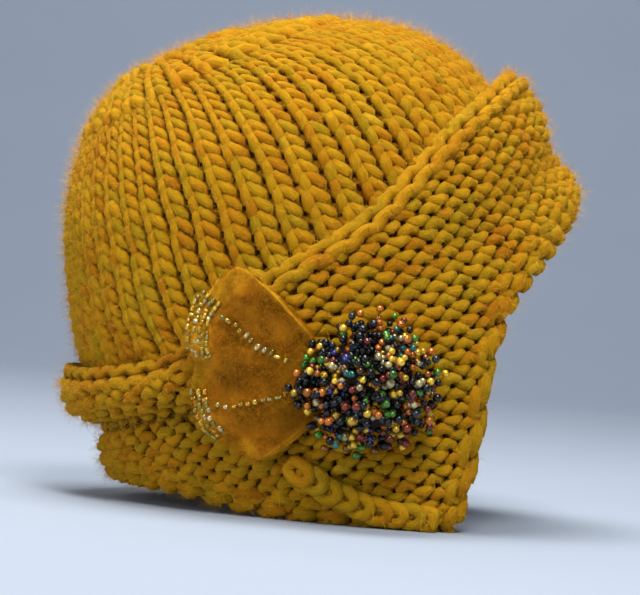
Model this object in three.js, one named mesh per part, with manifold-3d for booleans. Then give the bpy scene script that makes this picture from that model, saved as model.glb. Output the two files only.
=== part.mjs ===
import * as THREE from 'three';
import { mergeVertices } from 'three/addons/utils/BufferGeometryUtils.js';
import Module from 'manifold-3d';

// Hand-knitted cloche hat: a knitted crown, a wide turned-up brim with ear parts, a chained cast-off
// edge, and a felt leaf with rows of beads, gathered under a cluster of bead strands.
// Millimetres. +Z is up, +X is the front of the hat, -Y is the trimmed side.
// The pieces are laid out in the crown's own frame: p runs forward, w to the left, h along the
// crown's axis from its widest level. The crown leans back by crownLean when the hat rests.

// Driving sizes of the knitting
const crownLength = 218;
const crownWidth = 170;
const crownHeight = 125;
const crownLean = THREE.MathUtils.degToRad(29.1);
const knitWall = 7;
const columnCount = 54;
const ribDepth = 1.3;
const brimRise = 54;
const earDrop = 111;
const brimStand = 13;
const creaseDepth = 5;
const restDrop = 93;
const rimSetback = 6;
const seatGap = 0.5;

// Driving sizes of the cast-off edge
const chainWidth = 9;
const chainDepth = 6.5;
const chainLoops = 8;
const chainSwell = 0.16;

// Driving sizes of the leaf and its beads
const leafReach = 66;
const leafThickness = 2.5;
const leafRipple = 3;
const rippleStart = 0.42;
const beadRowWidth = 3;
const beadPatchWidth = 4.4;
const trimGap = 0.35;

// Driving sizes of the bead cluster
const clusterWidth = 63;
const clusterDepth = 21;
const strandCount = 35;
const strandWidth = 7;
const strandSides = 6;

// Where the leaf is gathered and where the cluster sits, in the crown's frame
const leafRoot = { p: -8, h: -35 };
const clusterSeat = { p: 2, h: -40 };

// How finely each piece is divided
const brimSteps = 80;
const leafSteps = 26;
const clusterSides = 20;

// Outline of the crown, with the stretch below the widest level that the brim follows.
// up is a share of crownHeight, back and front of half crownLength, side of half crownWidth.
const crownSections = [
  { up: -0.89, back: 0.84, front: 0.92, side: 0.84 },
  { up: -0.63, back: 0.87, front: 0.97, side: 0.9 },
  { up: -0.32, back: 0.92, front: 1.02, side: 0.96 },
  { up: 0, back: 0.97, front: 1.03, side: 0.995 },
  { up: 0.21, back: 0.97, front: 1.015, side: 1 },
  { up: 0.41, back: 0.9, front: 0.98, side: 0.985 },
  { up: 0.61, back: 0.812, front: 0.89, side: 0.91 },
  { up: 0.78, back: 0.685, front: 0.71, side: 0.74 },
  { up: 0.88, back: 0.57, front: 0.5, side: 0.58 },
  { up: 0.94, back: 0.48, front: 0.33, side: 0.44 },
  { up: 0.975, back: 0.395, front: 0.17, side: 0.31 },
  { up: 0.992, back: 0.31, front: 0.02, side: 0.18 },
];

// Levels of the crown's rings above the brim, outside and inside, as shares of crownHeight
const outerLevels = [0.992, 0.975, 0.94, 0.88, 0.8, 0.7, 0.58, 0.44, 0.3, 0.16];
const innerLevels = [0.16, 0.45, 0.68, 0.84, 0.94];
const hiddenRings = 1;

// The brim round half the hat, from the front at 0 degrees to the nape at 180, alike on both sides.
// lower is a share of earDrop below the widest level, upper of brimRise above it, stand and
// standLow of brimStand at the upper and the lower edge, crease of creaseDepth, and creaseUp is the
// level of the crease as a share of brimRise.
const brimSections = [
  { turn: 0, lower: 0.08, upper: 1, stand: 1.08, standLow: 0.7, crease: 0.9, creaseUp: 0.3 },
  { turn: 21, lower: 0.14, upper: 0.96, stand: 1.0, standLow: 0.7, crease: 0.85, creaseUp: 0.2 },
  { turn: 46, lower: 0.27, upper: 0.795, stand: 0.84, standLow: 0.68, crease: 0.65, creaseUp: 0.03 },
  { turn: 56, lower: 0.35, upper: 0.68, stand: 0.8, standLow: 0.68, crease: 0.6, creaseUp: -0.03 },
  { turn: 65, lower: 0.5, upper: 0.56, stand: 0.76, standLow: 0.68, crease: 0.4, creaseUp: -0.16 },
  { turn: 74, lower: 0.73, upper: 0.45, stand: 0.74, standLow: 0.66, crease: 0.15, creaseUp: -0.25 },
  { turn: 83, lower: 0.925, upper: 0.39, stand: 0.73, standLow: 0.65, crease: 0, creaseUp: -0.3 },
  { turn: 90, lower: 1.005, upper: 0.37, stand: 0.73, standLow: 0.65, crease: 0, creaseUp: -0.34 },
  { turn: 100, lower: 0.91, upper: 0.325, stand: 0.74, standLow: 0.66, crease: 0, creaseUp: -0.38 },
  { turn: 115, lower: 0.79, upper: 0.15, stand: 0.77, standLow: 0.69, crease: 0.3, creaseUp: -0.42 },
  { turn: 130, lower: 0.66, upper: 0.09, stand: 0.82, standLow: 0.78, crease: 0.8, creaseUp: -0.4 },
  { turn: 150, lower: 0.46, upper: 0.22, stand: 0.88, standLow: 0.94, crease: 0.95, creaseUp: -0.28 },
  { turn: 180, lower: 0.335, upper: 0.37, stand: 0.94, standLow: 1.1, crease: 1.05, creaseUp: -0.19 },
];

// Section of the brim, from its lower edge to its upper edge on the outside and back down the inside.
// up is the share of the brim's height there, out the share of its stand.
const brimOutside = [
  { up: 0, out: 0.72 },
  { up: 0.035, out: 0.93 },
  { up: 0.09, out: 1 },
  { up: 0.18, out: 1 },
  { up: 0.28, out: 1 },
  { up: 0.38, out: 1 },
  { up: 0.47, out: 1 },
  { up: 0.56, out: 1 },
  { up: 0.65, out: 1 },
  { up: 0.74, out: 1 },
  { up: 0.83, out: 1 },
  { up: 0.91, out: 0.96 },
  { up: 0.965, out: 0.82 },
  { up: 1, out: 0.5 },
];
const brimInside = [0.995, 0.84, 0.68, 0.5, 0.32, 0.16, 0.01];
const creaseSpan = 9;

// Outline of the leaf round its root: turn in degrees from the front, reach a share of leafReach
const leafOutline = [
  { turn: 93, reach: 0.3 },
  { turn: 99, reach: 0.5 },
  { turn: 102, reach: 0.74 },
  { turn: 105, reach: 0.95 },
  { turn: 112, reach: 0.97 },
  { turn: 125, reach: 1.0 },
  { turn: 136, reach: 0.975 },
  { turn: 147, reach: 0.91 },
  { turn: 158, reach: 0.92 },
  { turn: 172, reach: 0.9 },
  { turn: 182, reach: 0.83 },
  { turn: 190, reach: 0.73 },
  { turn: 199, reach: 0.69 },
  { turn: 205, reach: 0.42 },
  { turn: 212, reach: 0.3 },
];
const leafRings = [0.2, 0.34, 0.48, 0.61, 0.74, 0.86, 0.95, 1];

// Rows of beads on the leaf: turn in degrees from the front, out a share of the leaf's reach there
const beadRows = {
  leaf_beads_upper_edge: {
    width: beadPatchWidth,
    route: [
      { turn: 121, out: 0.955 },
      { turn: 126, out: 0.955 },
      { turn: 132, out: 0.95 },
      { turn: 138, out: 0.945 },
      { turn: 143, out: 0.94 },
    ],
  },
  leaf_beads_upper_vein: {
    width: beadRowWidth,
    route: [
      { turn: 125, out: 0.83 },
      { turn: 126, out: 0.74 },
      { turn: 127, out: 0.66 },
      { turn: 130, out: 0.55 },
      { turn: 131, out: 0.44 },
      { turn: 130, out: 0.36 },
    ],
  },
  leaf_beads_lower_edge: {
    width: beadPatchWidth,
    route: [
      { turn: 158.5, out: 0.95 },
      { turn: 165, out: 0.95 },
      { turn: 172, out: 0.95 },
      { turn: 178.5, out: 0.95 },
    ],
  },
  leaf_beads_lower_vein: {
    width: beadRowWidth,
    route: [
      { turn: 165.5, out: 0.83 },
      { turn: 167, out: 0.76 },
      { turn: 167.5, out: 0.66 },
      { turn: 167, out: 0.52 },
      { turn: 167.5, out: 0.37 },
    ],
  },
};

// Route of the cast-off edge over the brim, p and h as shares of earDrop
const chainRoute = [
  { p: -0.36, h: -0.515 },
  { p: -0.33, h: -0.575 },
  { p: -0.285, h: -0.64 },
  { p: -0.235, h: -0.71 },
  { p: -0.175, h: -0.775 },
  { p: -0.105, h: -0.835 },
  { p: -0.035, h: -0.88 },
  { p: 0.03, h: -0.92 },
];

// Smooth reading of one column of a table between its rows, level at both ends
function readTable(rows, key, column, at) {
  const last = rows.length - 1;
  if (at <= rows[0][key]) return rows[0][column];
  if (at >= rows[last][key]) return rows[last][column];
  let i = 0;
  while (rows[i + 1][key] < at) i += 1;
  const slope = (k) => {
    if (k === 0 || k === last) return 0;
    return (rows[k + 1][column] - rows[k - 1][column]) / (rows[k + 1][key] - rows[k - 1][key]);
  };
  const span = rows[i + 1][key] - rows[i][key];
  const t = (at - rows[i][key]) / span;
  const rise = t * t * (3 - 2 * t);
  const leave = t * (1 - t) * (1 - t) * span * slope(i);
  const arrive = t * t * (t - 1) * span * slope(i + 1);
  return rows[i][column] * (1 - rise) + rows[i + 1][column] * rise + leave + arrive;
}

// Angle round the hat folded onto one half, in degrees from the front
function foldTurn(turn) {
  return Math.abs(THREE.MathUtils.radToDeg(Math.atan2(Math.sin(turn), Math.cos(turn))));
}

// Half length, centre and half width of the crown's outline at a level
function crownOutline(h) {
  const up = h / crownHeight;
  const back = readTable(crownSections, 'up', 'back', up) * crownLength / 2;
  const front = readTable(crownSections, 'up', 'front', up) * crownLength / 2;
  const side = readTable(crownSections, 'up', 'side', up) * crownWidth / 2;
  return { long: (front + back) / 2, centre: (front - back) / 2, wide: side };
}

// A point at an angle and level, a distance out from the crown's outline
function hatPoint(turn, h, out) {
  const outline = crownOutline(h);
  const p = outline.centre + (outline.long + out) * Math.cos(turn);
  const w = -(outline.wide + out) * Math.sin(turn);
  return new THREE.Vector3(p, w, h);
}

// The same on the trimmed side, where p is given instead of the angle
function sidePoint(p, h, out) {
  const outline = crownOutline(h);
  return hatPoint(Math.acos((p - outline.centre) / (outline.long + out)), h, out);
}

// Direction straight out of the hat on the trimmed side
function sideNormal(p, h, out) {
  const step = 1;
  const along = sidePoint(p + step, h, out).sub(sidePoint(p - step, h, out));
  const rising = sidePoint(p, h + step, out).sub(sidePoint(p, h - step, out));
  return along.cross(rising).normalize();
}

// Level of the surface that the hat rests on, under a point p of the crown's frame
function restLevel(p) {
  return (-restDrop - p * Math.sin(crownLean)) / Math.cos(crownLean);
}

function brimEdge(turn) {
  const fold = foldTurn(turn);
  const read = (column) => readTable(brimSections, 'turn', column, fold);
  return {
    lower: -read('lower') * earDrop,
    upper: read('upper') * brimRise,
    stand: read('stand') * brimStand,
    standLow: read('standLow') * brimStand,
    crease: read('crease') * creaseDepth,
    creaseLevel: read('creaseUp') * brimRise,
  };
}

// How far the brim stands out of the crown at an angle and level
function brimOut(turn, h) {
  const edge = brimEdge(turn);
  const up = (h - edge.lower) / (edge.upper - edge.lower);
  const full = edge.standLow + (edge.stand - edge.standLow) * up;
  const dip = (h - edge.creaseLevel) / creaseSpan;
  return full * readTable(brimOutside, 'up', 'out', up) - edge.crease * Math.exp(-dip * dip);
}

// Builds a closed body through rings of points, either closed on itself or capped at both ends
function loft(rings, closed, capRise = 0) {
  const count = rings[0].length;
  const points = rings.flat();
  const faces = [];
  const spans = closed ? rings.length : rings.length - 1;
  for (let i = 0; i < spans; i += 1) {
    const near = i * count;
    const far = ((i + 1) % rings.length) * count;
    for (let k = 0; k < count; k += 1) {
      const next = (k + 1) % count;
      faces.push(near + k, far + k, near + next);
      faces.push(near + next, far + k, far + next);
    }
  }
  if (!closed) {
    const lastStart = (rings.length - 1) * count;
    const first = points.length;
    points.push(ringCentre(rings[0], capRise), ringCentre(rings[rings.length - 1], capRise));
    for (let k = 0; k < count; k += 1) {
      const next = (k + 1) % count;
      faces.push(first, k, next);
      faces.push(first + 1, lastStart + next, lastStart + k);
    }
  }
  const geometry = new THREE.BufferGeometry().setFromPoints(points);
  geometry.setIndex(faces);
  return outwardGeometry(geometry);
}

function ringCentre(ring, rise) {
  const centre = new THREE.Vector3();
  ring.forEach((point) => centre.add(point));
  centre.divideScalar(ring.length);
  centre.z += rise;
  return centre;
}

// Turns the faces outward where a loft ran the other way round
function outwardGeometry(geometry) {
  const position = geometry.getAttribute('position');
  const index = geometry.getIndex();
  const corner = [new THREE.Vector3(), new THREE.Vector3(), new THREE.Vector3()];
  let volume = 0;
  for (let i = 0; i < index.count; i += 3) {
    corner.forEach((point, k) => point.fromBufferAttribute(position, index.getX(i + k)));
    volume += corner[0].dot(corner[1].cross(corner[2]));
  }
  if (volume < 0) {
    for (let i = 0; i < index.count; i += 3) {
      const held = index.getX(i);
      index.setX(i, index.getX(i + 1));
      index.setX(i + 1, held);
    }
  }
  geometry.computeVertexNormals();
  return geometry;
}

// Crown: a knitted wall with a rib for each column of stitches, open below
function crownGeometry() {
  const perColumn = 2;
  const count = columnCount * perColumn;
  const turns = Array.from({ length: count }, (_, k) => (k / count) * 2 * Math.PI);
  const topOfHidden = outerLevels[outerLevels.length - 1] * crownHeight;
  const rim = (turn) => brimEdge(turn).lower + rimSetback;
  const ribAt = (k, h) => {
    const fade = crownOutline(h).long / (crownLength / 2);
    return k % perColumn === 0 ? 0 : -ribDepth * fade;
  };
  const rings = outerLevels.map((level) => {
    const h = level * crownHeight;
    return turns.map((turn, k) => hatPoint(turn, h, ribAt(k, h)));
  });
  for (let i = 1; i <= hiddenRings + 1; i += 1) {
    const share = i / (hiddenRings + 1);
    rings.push(turns.map((turn, k) => {
      const h = topOfHidden + (rim(turn) - topOfHidden) * share;
      return hatPoint(turn, h, ribAt(k, h));
    }));
  }
  for (let i = hiddenRings + 1; i >= 1; i -= 1) {
    const share = i / (hiddenRings + 1);
    rings.push(turns.map((turn) => {
      const h = topOfHidden + (rim(turn) - topOfHidden) * share;
      return hatPoint(turn, h, -knitWall);
    }));
  }
  innerLevels.forEach((level) => {
    const h = level * (crownHeight - knitWall);
    const lean = knitWall * Math.sqrt(crownOutline(h).long / (crownLength / 2));
    rings.push(turns.map((turn) => hatPoint(turn, h, -lean)));
  });
  return loft(rings, false, 0.5);
}

// Brim: the turned-up cuff, with its crease, its ear parts and the flats that it rests on
function brimGeometry() {
  const rings = Array.from({ length: brimSteps }, (_, i) => {
    const turn = (i / brimSteps) * 2 * Math.PI;
    const edge = brimEdge(turn);
    const level = (share) => edge.lower + (edge.upper - edge.lower) * share;
    const outside = brimOutside.map((row) => hatPoint(turn, level(row.up), brimOut(turn, level(row.up))));
    const inside = brimInside.map((share) => hatPoint(turn, level(share), seatGap));
    const ring = [...outside, ...inside];
    ring.forEach((point) => {
      point.z = Math.max(point.z, restLevel(point.x));
    });
    return ring;
  });
  return loft(rings, true);
}

// Cast-off edge: a row of linked loops that swell and narrow along a line over the brim
function castOffGeometry() {
  const seats = chainRoute.map((row) => {
    const p = row.p * earDrop;
    const h = row.h * earDrop;
    const outline = crownOutline(h);
    const turn = Math.acos((p - outline.centre) / (outline.long + brimStand));
    const out = brimOut(turn, h) + trimGap + chainDepth / 2;
    return { point: sidePoint(p, h, out), normal: sideNormal(p, h, out) };
  });
  const line = new THREE.CatmullRomCurve3(seats.map((seat) => seat.point));
  const steps = chainLoops * 4;
  const sides = 8;
  const rings = [];
  for (let i = 0; i <= steps; i += 1) {
    const share = i / steps;
    const centre = line.getPoint(share);
    const along = line.getTangent(share);
    const near = share * (seats.length - 1);
    const from = Math.min(Math.floor(near), seats.length - 2);
    const out = seats[from].normal.clone().lerp(seats[from + 1].normal, near - from);
    const across = new THREE.Vector3().crossVectors(out, along).normalize();
    out.crossVectors(along, across).normalize();
    const swell = 1 - chainSwell * (1 + Math.cos(share * chainLoops * 2 * Math.PI)) / 2;
    rings.push(Array.from({ length: sides }, (_, k) => {
      const angle = (k / sides) * 2 * Math.PI;
      return centre.clone()
        .addScaledVector(across, Math.cos(angle) * swell * chainWidth / 2)
        .addScaledVector(out, Math.sin(angle) * swell * chainDepth / 2);
    }));
  }
  return loft(rings, false);
}

// How far out the underside of the leaf lies: on the brim, easing down towards the crown past its
// upper edge, and rippled towards the leaf's own edge
function leafUnder(turn, out, p, h) {
  const outline = crownOutline(h);
  const seat = Math.acos((p - outline.centre) / (outline.long + brimStand));
  const edge = brimEdge(seat);
  const past = THREE.MathUtils.smoothstep(h, edge.upper, edge.upper + leafReach * 0.2);
  const loose = THREE.MathUtils.smoothstep(out, rippleStart, 1);
  const wave = Math.sin(THREE.MathUtils.degToRad(turn * 11)) * 0.5 + 0.5;
  return brimStand * (0.82 - 0.3 * past) + leafRipple * loose * wave;
}

// A point of the leaf: turn in degrees round the root, out a share of its reach, lift above its underside
function leafPoint(turn, out, lift) {
  const reach = readTable(leafOutline, 'turn', 'reach', turn) * leafReach * out;
  const angle = THREE.MathUtils.degToRad(turn);
  const p = leafRoot.p + reach * Math.cos(angle);
  const h = leafRoot.h + reach * Math.sin(angle);
  return sidePoint(p, h, leafUnder(turn, out, p, h) + lift);
}

function leafNormal(turn, out, lift) {
  const turned = leafPoint(turn + 1, out, lift).sub(leafPoint(turn - 1, out, lift));
  const reached = leafPoint(turn, out + 0.02, lift).sub(leafPoint(turn, out - 0.02, lift));
  return reached.cross(turned).normalize();
}

// Felt leaf: a fan of even thickness, narrow at its root and rippled at its edge
function leafGeometry() {
  const first = leafOutline[0].turn;
  const last = leafOutline[leafOutline.length - 1].turn;
  const rings = Array.from({ length: leafSteps + 1 }, (_, i) => {
    const turn = first + ((last - first) * i) / leafSteps;
    const under = leafRings.map((out) => leafPoint(turn, out, 0));
    const over = leafRings.map((out) => leafPoint(turn, out, leafThickness)).reverse();
    return [...under, ...over];
  });
  return loft(rings, false);
}

// Row of beads on the leaf, as the round string that they fill
function beadRowGeometry(row) {
  const lift = leafThickness + trimGap + row.width / 2;
  const line = new THREE.CatmullRomCurve3(row.route.map((seat) => leafPoint(seat.turn, seat.out, lift)));
  const sides = 8;
  const outline = new THREE.Shape();
  for (let k = 0; k < sides; k += 1) {
    const angle = (k / sides) * 2 * Math.PI;
    const x = Math.cos(angle) * row.width / 2;
    const y = Math.sin(angle) * row.width / 2;
    if (k === 0) outline.moveTo(x, y);
    else outline.lineTo(x, y);
  }
  outline.closePath();
  const steps = Math.ceil(line.getLength() / row.width);
  return new THREE.ExtrudeGeometry(outline, { steps, bevelEnabled: false, extrudePath: line });
}

const wasm = await Module();
wasm.setup();

function solidOf(geometry) {
  const bare = geometry.clone();
  bare.deleteAttribute('normal');
  bare.deleteAttribute('uv');
  const merged = mergeVertices(bare, 1e-4);
  return new wasm.Manifold(new wasm.Mesh({
    numProp: 3,
    vertProperties: new Float32Array(merged.getAttribute('position').array),
    triVerts: new Uint32Array(merged.getIndex().array),
  }));
}

function geometryOf(solid) {
  const mesh = solid.getMesh();
  const geometry = new THREE.BufferGeometry();
  geometry.setAttribute('position', new THREE.BufferAttribute(mesh.vertProperties, 3));
  geometry.setIndex(new THREE.BufferAttribute(mesh.triVerts, 1));
  geometry.computeVertexNormals();
  return geometry;
}

// One strand of the cluster, widest past its middle and rounded at its tip, along +Y
function strandGeometry(length) {
  const half = strandWidth / 2;
  const profile = [
    new THREE.Vector2(0, 0),
    new THREE.Vector2(half * 0.7, 0),
    new THREE.Vector2(half, length * 0.55),
    new THREE.Vector2(half * 0.8, length * 0.85),
    new THREE.Vector2(0, length),
  ];
  return new THREE.LatheGeometry(profile, strandSides);
}

// Bead cluster: a low domed head with short strands of beads that stand out all round it
function clusterGeometry() {
  const radius = clusterWidth / 2;
  const headRadius = radius * 0.8;
  const headHeight = clusterDepth * 0.72;
  const headProfile = [new THREE.Vector2(0, 0)];
  const bands = 6;
  for (let i = 0; i <= bands; i += 1) {
    const angle = (i / bands) * Math.PI / 2;
    headProfile.push(new THREE.Vector2(headRadius * Math.cos(angle), headHeight * Math.sin(angle)));
  }
  headProfile[headProfile.length - 1].x = 0;
  let solid = solidOf(new THREE.LatheGeometry(headProfile, clusterSides));
  const golden = Math.PI * (3 - Math.sqrt(5));
  const up = new THREE.Vector3(0, 1, 0);
  for (let i = 0; i < strandCount; i += 1) {
    const rise = 0.1 + 0.9 * ((i + 0.5) / strandCount);
    const level = Math.sqrt(1 - rise * rise);
    const spin = i * golden;
    const aim = new THREE.Vector3(level * Math.cos(spin), rise, level * Math.sin(spin));
    const tip = new THREE.Vector3(aim.x * radius, aim.y * clusterDepth, aim.z * radius);
    const foot = new THREE.Vector3(tip.x * 0.5, Math.max(tip.y * 0.5, strandWidth * 0.62), tip.z * 0.5);
    tip.y = Math.max(tip.y, strandWidth * 0.62);
    const strand = strandGeometry(foot.distanceTo(tip));
    const turn = new THREE.Quaternion().setFromUnitVectors(up, tip.clone().sub(foot).normalize());
    strand.applyQuaternion(turn);
    strand.translate(foot.x, foot.y, foot.z);
    solid = solid.add(solidOf(strand));
  }
  const geometry = geometryOf(solid);
  const seatLift = leafUnder(180, 0, leafRoot.p, leafRoot.h) + leafThickness + trimGap;
  const seat = sidePoint(clusterSeat.p, clusterSeat.h, seatLift);
  const outward = sideNormal(clusterSeat.p, clusterSeat.h, seatLift);
  geometry.applyQuaternion(new THREE.Quaternion().setFromUnitVectors(up, outward));
  geometry.translate(seat.x, seat.y, seat.z);
  return geometry;
}

const knitMaterial = { color: 0xb87a14, roughness: 0.95, metalness: 0 };
const brimMaterial = { color: 0xb5740f, roughness: 0.95, metalness: 0 };
const feltMaterial = { color: 0xa85c10, roughness: 0.95, metalness: 0 };
const goldBeadMaterial = { color: 0xb99a3a, roughness: 0.2, metalness: 0.2 };
const darkBeadMaterial = { color: 0x3a2a18, roughness: 0.15, metalness: 0.2 };

const hat = new THREE.Group();

function addPiece(name, geometry, finish) {
  const mesh = new THREE.Mesh(geometry, new THREE.MeshStandardMaterial(finish));
  mesh.name = name;
  hat.add(mesh);
}

addPiece('crown', crownGeometry(), knitMaterial);
addPiece('brim', brimGeometry(), brimMaterial);
addPiece('cast_off_edge', castOffGeometry(), brimMaterial);
addPiece('felt_leaf', leafGeometry(), feltMaterial);
Object.entries(beadRows).forEach(([name, row]) => {
  addPiece(name, beadRowGeometry(row), goldBeadMaterial);
});
addPiece('bead_cluster', clusterGeometry(), darkBeadMaterial);

// Lean the crown back and stand the hat on its ear parts, centred over the origin
hat.rotation.y = -crownLean;
hat.updateMatrixWorld(true);
const extent = new THREE.Box3().setFromObject(hat, true);
const middle = extent.getCenter(new THREE.Vector3());
hat.position.set(-middle.x, -middle.y, restDrop);

export default hat;
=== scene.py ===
"""Hand-knitted cloche hat: yarn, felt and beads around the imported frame."""

import math

import bmesh
import bpy
import numpy as np
from mathutils import Matrix, Vector


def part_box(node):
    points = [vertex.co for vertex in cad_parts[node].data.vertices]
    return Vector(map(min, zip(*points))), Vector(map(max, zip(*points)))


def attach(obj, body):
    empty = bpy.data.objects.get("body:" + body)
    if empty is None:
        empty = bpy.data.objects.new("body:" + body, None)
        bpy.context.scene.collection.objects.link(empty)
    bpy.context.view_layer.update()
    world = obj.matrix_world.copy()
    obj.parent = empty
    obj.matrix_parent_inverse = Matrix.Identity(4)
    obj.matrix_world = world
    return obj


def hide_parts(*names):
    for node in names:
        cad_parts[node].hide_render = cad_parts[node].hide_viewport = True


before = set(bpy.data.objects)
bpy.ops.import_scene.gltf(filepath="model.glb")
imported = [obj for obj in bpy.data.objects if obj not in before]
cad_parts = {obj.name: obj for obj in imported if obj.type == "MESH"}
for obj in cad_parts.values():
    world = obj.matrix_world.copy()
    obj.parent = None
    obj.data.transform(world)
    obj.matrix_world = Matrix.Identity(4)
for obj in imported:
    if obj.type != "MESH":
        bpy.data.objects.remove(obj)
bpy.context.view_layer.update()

bl_info = {
    "name": "Knitted cloche hat",
    "version": (1, 0, 0),
    "blender": (4, 5, 0),
    "location": "3D View > Sidebar > Cloche hat",
    "description": "Knits the hat's yarn and dresses it with its felt leaf and beads",
    "category": "Object",
}

MM = 0.001
FULL_TURN = 2 * math.pi

# Sizes of the hat's forms in millimetres, in the crown's own frame: p forward, w left, h up its axis
CROWN_LENGTH = 218
CROWN_WIDTH = 170
CROWN_HEIGHT = 125
CROWN_LEAN = math.radians(29.1)
BRIM_RISE = 54
EAR_DROP = 111
BRIM_STAND = 13
CREASE_DEPTH = 5
CREASE_SPAN = 9
NAPE_TURNS = (98, 130)
NAPE_CREASE = 3.6
NAPE_CREASE_SPAN = 4.2
NAPE_ROLL = 2.4
NAPE_ROLL_RISE = 14
NAPE_ROLL_SPAN = 8
REST_DROP = 93
RIM_SETBACK = 6
LEAF_REACH = 66
LEAF_THICKNESS = 2.5
LEAF_RIPPLE = 3
RIPPLE_START = 0.42
LEAF_ROOT = (-8, -35)
CLUSTER_SEAT = (2, -40)
CLUSTER_WIDTH = 63
CLUSTER_DEPTH = 21
TRIM_GAP = 0.35

# The crown leans about its widest level, whose middle stands here over the part's origin
HAT_MIDDLE = (2.627, sum(corner[1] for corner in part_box("brim")) / (2 * MM), REST_DROP)

# Outline of the crown: up a share of its height, back, front and side of its half sizes
CROWN_SECTIONS = {
    "up": (-0.89, -0.63, -0.32, 0, 0.21, 0.41, 0.61, 0.78, 0.88, 0.94, 0.975, 0.992, 1),
    "back": (0.84, 0.87, 0.92, 0.97, 0.97, 0.9, 0.812, 0.685, 0.57, 0.48, 0.395, 0.31, 0.16),
    "front": (0.92, 0.97, 1.02, 1.03, 1.015, 0.98, 0.89, 0.71, 0.5, 0.33, 0.17, 0.02, -0.14),
    "side": (0.84, 0.9, 0.96, 0.995, 1, 0.985, 0.91, 0.74, 0.58, 0.44, 0.31, 0.18, 0.01),
}

# The brim from the front to the nape, alike on both sides, as shares of its named sizes
BRIM_SECTIONS = {
    "turn": (0, 21, 46, 56, 65, 74, 83, 90, 100, 115, 130, 150, 180),
    "lower": (0.08, 0.14, 0.27, 0.35, 0.5, 0.73, 0.925, 1.005, 0.91, 0.765, 0.605, 0.415, 0.31),
    "upper": (1, 0.96, 0.795, 0.68, 0.56, 0.45, 0.39, 0.37, 0.325, 0.15, 0.09, 0.22, 0.37),
    "stand": (1.08, 1, 0.84, 0.8, 0.76, 0.74, 0.73, 0.73, 0.74, 0.77, 0.82, 0.88, 0.94),
    "stand_low": (0.7, 0.7, 0.68, 0.68, 0.68, 0.66, 0.65, 0.65, 0.66, 0.69, 0.78, 0.94, 1.1),
    "crease": (0.9, 0.85, 0.65, 0.6, 0.4, 0.15, 0, 0, 0, 0.3, 0.8, 0.95, 1.05),
    "crease_up": (0.3, 0.2, 0.03, -0.03, -0.16, -0.25, -0.3, -0.34, -0.38, -0.42, -0.4, -0.28, -0.19),
}
BRIM_ROUNDING = {
    "up": (0, 0.035, 0.09, 0.83, 0.91, 0.965, 1),
    "out": (0.72, 0.93, 1, 1, 0.96, 0.82, 0.5),
}

# Outline of the leaf round its root: turn in degrees from the front, reach a share of LEAF_REACH
LEAF_OUTLINE = {
    "turn": (93, 99, 102, 105, 112, 125, 136, 147, 158, 172, 182, 190, 199, 205, 212),
    "reach": (0.3, 0.5, 0.74, 0.95, 0.97, 1, 0.975, 0.91, 0.92, 0.9, 0.83, 0.73, 0.69, 0.42, 0.3),
}

# Rows of beads on the leaf: turns, shares of the leaf's reach, and how many rows lie side by side
BEAD_ROWS = {
    "leaf_beads_upper_edge": ((121, 126, 132, 138, 143), (0.955, 0.955, 0.95, 0.945, 0.94), 4),
    "leaf_beads_upper_vein": ((125, 126, 127, 130, 131, 130), (0.83, 0.74, 0.66, 0.55, 0.44, 0.36), 1),
    "leaf_beads_lower_edge": ((158.5, 165, 172, 178.5), (0.95, 0.95, 0.95, 0.95), 3),
    "leaf_beads_lower_vein": ((165.5, 167, 167.5, 167, 167.5), (0.83, 0.76, 0.66, 0.52, 0.37), 1),
}

# Route of the cast-off edge over the brim, as shares of EAR_DROP
CHAIN_ROUTE = (
    (-0.36, -0.515), (-0.33, -0.575), (-0.285, -0.64), (-0.235, -0.71),
    (-0.175, -0.775), (-0.105, -0.835), (-0.035, -0.88), (0.03, -0.92),
)


def read_table(table, key, column, at):
    """Smooth reading of a column between its rows, level at both ends."""
    keys = np.array(table[key], float)
    values = np.array(table[column], float)
    slopes = np.zeros(len(keys))
    slopes[1:-1] = (values[2:] - values[:-2]) / (keys[2:] - keys[:-2])
    at = np.clip(np.asarray(at, float), keys[0], keys[-1])
    i = np.clip(np.searchsorted(keys, at, side="right") - 1, 0, len(keys) - 2)
    span = keys[i + 1] - keys[i]
    t = (at - keys[i]) / span
    rise = t * t * (3 - 2 * t)
    leave = t * (1 - t) ** 2 * span * slopes[i]
    arrive = t * t * (t - 1) * span * slopes[i + 1]
    return values[i] * (1 - rise) + values[i + 1] * rise + leave + arrive


def smoothstep(x, low, high):
    t = np.clip((x - low) / (high - low), 0, 1)
    return t * t * (3 - 2 * t)


def crown_outline(h):
    """Half length, centre and half width of the crown at a level."""
    up = np.asarray(h, float) / CROWN_HEIGHT
    back = read_table(CROWN_SECTIONS, "up", "back", up) * CROWN_LENGTH / 2
    front = read_table(CROWN_SECTIONS, "up", "front", up) * CROWN_LENGTH / 2
    side = read_table(CROWN_SECTIONS, "up", "side", up) * CROWN_WIDTH / 2
    return (front + back) / 2, (front - back) / 2, side


def hat_point(turn, h, out):
    """A point at an angle and level, a distance out from the crown's outline."""
    long, centre, wide = crown_outline(h)
    p = centre + (long + out) * np.cos(turn)
    w = -(wide + out) * np.sin(turn)
    return np.stack(np.broadcast_arrays(p, w, h), -1)


def side_turn(p, h, out):
    long, centre, _ = crown_outline(h)
    return np.arccos(np.clip((p - centre) / (long + out), -1, 1))


def side_point(p, h, out):
    return hat_point(side_turn(p, h, out), h, out)


def fold_turn(turn):
    return np.abs(np.degrees(np.arctan2(np.sin(turn), np.cos(turn))))


def brim_share(column, fold):
    return read_table(BRIM_SECTIONS, "turn", column, fold)


def brim_levels(turn):
    """Levels of the brim's lower and upper edge at an angle."""
    fold = fold_turn(turn)
    return -brim_share("lower", fold) * EAR_DROP, brim_share("upper", fold) * BRIM_RISE


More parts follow.
